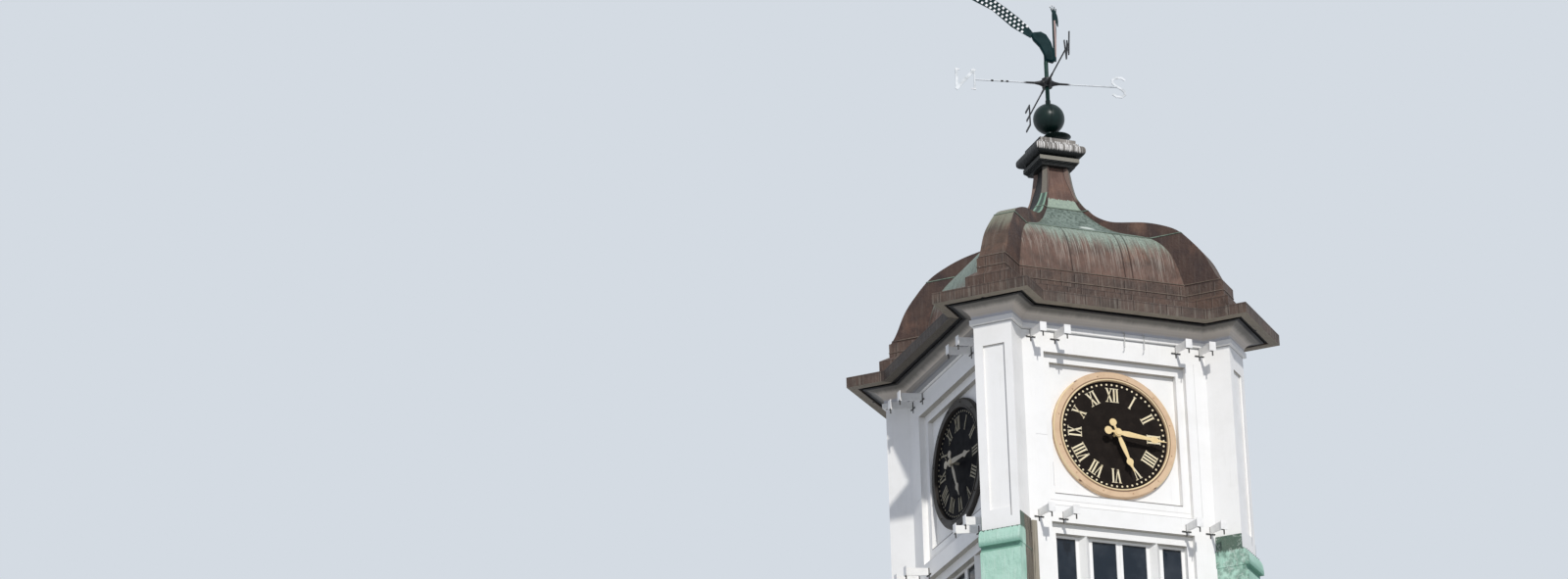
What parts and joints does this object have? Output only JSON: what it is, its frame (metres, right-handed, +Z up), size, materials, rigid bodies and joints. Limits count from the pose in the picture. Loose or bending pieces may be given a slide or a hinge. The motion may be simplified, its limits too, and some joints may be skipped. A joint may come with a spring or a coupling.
{
  "type": "clock turret",
  "caption": "Timber clock turret with a dial on each side, window row, corner piers, copper bell dome, ball finial and turning bird vane.",
  "frame": {"origin": "centre of the underside of the plinth", "axes": "+Z up, -Y towards the front dial, +X to the right of the front"},
  "size_m": [4.271, 4.271, 10.26],
  "materials": {
    "painted_timber": "painted white, satin",
    "floor_boards": "bare boards",
    "window_glass": "dark clear glass",
    "brown_copper": "oxidised copper sheet",
    "green_copper": "verdigris on copper sheet",
    "cap_paint": "streaked grey",
    "dial_black": "satin black",
    "dial_ring": "buff paint",
    "gilt": "gilded sheet",
    "white_steel": "white paint",
    "dark_green": "gloss",
    "vane_metal": "worn silver paint"
  },
  "bodies": {
    "turret": {"base_plinth": "painted_timber", "bracket_arms_back": "white_steel", "bracket_arms_front": "white_steel", "bracket_arms_left": "white_steel", "bracket_arms_right": "white_steel", "cap": "cap_paint", "clock_floor": "floor_boards", "clock_surrounds": "painted_timber", "clock_wall_back": "painted_timber", "clock_wall_front": "painted_timber", "clock_wall_left": "painted_timber", "clock_wall_right": "painted_timber", "compass_arms": "vane_metal", "console_back_left": "green_copper", "console_back_right": "green_copper", "console_front_left": "green_copper", "console_front_right": "green_copper", "cornice": "painted_timber", "dial_back": "dial_black", "dial_front": "dial_black", "dial_left": "dial_black", "dial_right": "dial_black", "dial_rings": "dial_ring", "dome": "brown_copper", "dome_neck": "brown_copper", "dome_skirt": "brown_copper", "eave": "brown_copper", "finial_ball": "dark_green", "lower_floor": "floor_boards", "pier_back_left": "painted_timber", "pier_back_right": "painted_timber", "pier_front_left": "painted_timber", "pier_front_right": "painted_timber", "roof_curb": "brown_copper", "vane_rod": "dark_green", "window_frame_back": "painted_timber", "window_frame_front": "painted_timber", "window_frame_left": "painted_timber", "window_frame_right": "painted_timber", "window_glass_back": "window_glass", "window_glass_front": "window_glass", "window_glass_left": "window_glass", "window_glass_right": "window_glass", "window_wall_back": "painted_timber", "window_wall_front": "painted_timber", "window_wall_left": "painted_timber", "window_wall_right": "painted_timber"},
    "hour_hand_back": {"hour_hand_back": "gilt"},
    "hour_hand_front": {"hour_hand_front": "gilt"},
    "hour_hand_left": {"hour_hand_left": "gilt"},
    "hour_hand_right": {"hour_hand_right": "gilt"},
    "minute_hand_back": {"minute_hand_back": "gilt"},
    "minute_hand_front": {"minute_hand_front": "gilt"},
    "minute_hand_left": {"minute_hand_left": "gilt"},
    "minute_hand_right": {"minute_hand_right": "gilt"},
    "vane_bird": {"vane_bird": "dark_green"}
  },
  "joints": [
    {"name": "minute_hand_front_turn", "type": "hinge", "parent": "turret", "child": "minute_hand_front", "pos_m": [0, -1.37, 4.03], "axis": [0, 1, 0], "continuous": true},
    {"name": "hour_hand_front_turn", "type": "hinge", "parent": "turret", "child": "hour_hand_front", "pos_m": [0, -1.37, 4.03], "axis": [0, 1, 0], "continuous": true},
    {"name": "minute_hand_right_turn", "type": "hinge", "parent": "turret", "child": "minute_hand_right", "pos_m": [1.37, 0, 4.03], "axis": [-1, 0, 0], "continuous": true},
    {"name": "hour_hand_right_turn", "type": "hinge", "parent": "turret", "child": "hour_hand_right", "pos_m": [1.37, 0, 4.03], "axis": [-1, 0, 0], "continuous": true},
    {"name": "minute_hand_back_turn", "type": "hinge", "parent": "turret", "child": "minute_hand_back", "pos_m": [0, 1.37, 4.03], "axis": [0, -1, 0], "continuous": true},
    {"name": "hour_hand_back_turn", "type": "hinge", "parent": "turret", "child": "hour_hand_back", "pos_m": [0, 1.37, 4.03], "axis": [0, -1, 0], "continuous": true},
    {"name": "minute_hand_left_turn", "type": "hinge", "parent": "turret", "child": "minute_hand_left", "pos_m": [-1.37, 0, 4.03], "axis": [1, 0, 0], "continuous": true},
    {"name": "hour_hand_left_turn", "type": "hinge", "parent": "turret", "child": "hour_hand_left", "pos_m": [-1.37, 0, 4.03], "axis": [1, 0, 0], "continuous": true},
    {"name": "vane_turn", "type": "hinge", "parent": "turret", "child": "vane_bird", "pos_m": [0, 0, 9.3], "axis": [0, 0, 1], "continuous": true}
  ],
  "couplings": [
    {"joint": "hour_hand_front_turn", "follows": "minute_hand_front_turn", "ratio": 0.083333},
    {"joint": "minute_hand_right_turn", "follows": "minute_hand_front_turn", "ratio": 1},
    {"joint": "hour_hand_right_turn", "follows": "minute_hand_front_turn", "ratio": 0.083333},
    {"joint": "minute_hand_back_turn", "follows": "minute_hand_front_turn", "ratio": 1},
    {"joint": "hour_hand_back_turn", "follows": "minute_hand_front_turn", "ratio": 0.083333},
    {"joint": "minute_hand_left_turn", "follows": "minute_hand_front_turn", "ratio": 1},
    {"joint": "hour_hand_left_turn", "follows": "minute_hand_front_turn", "ratio": 0.083333}
  ]
}
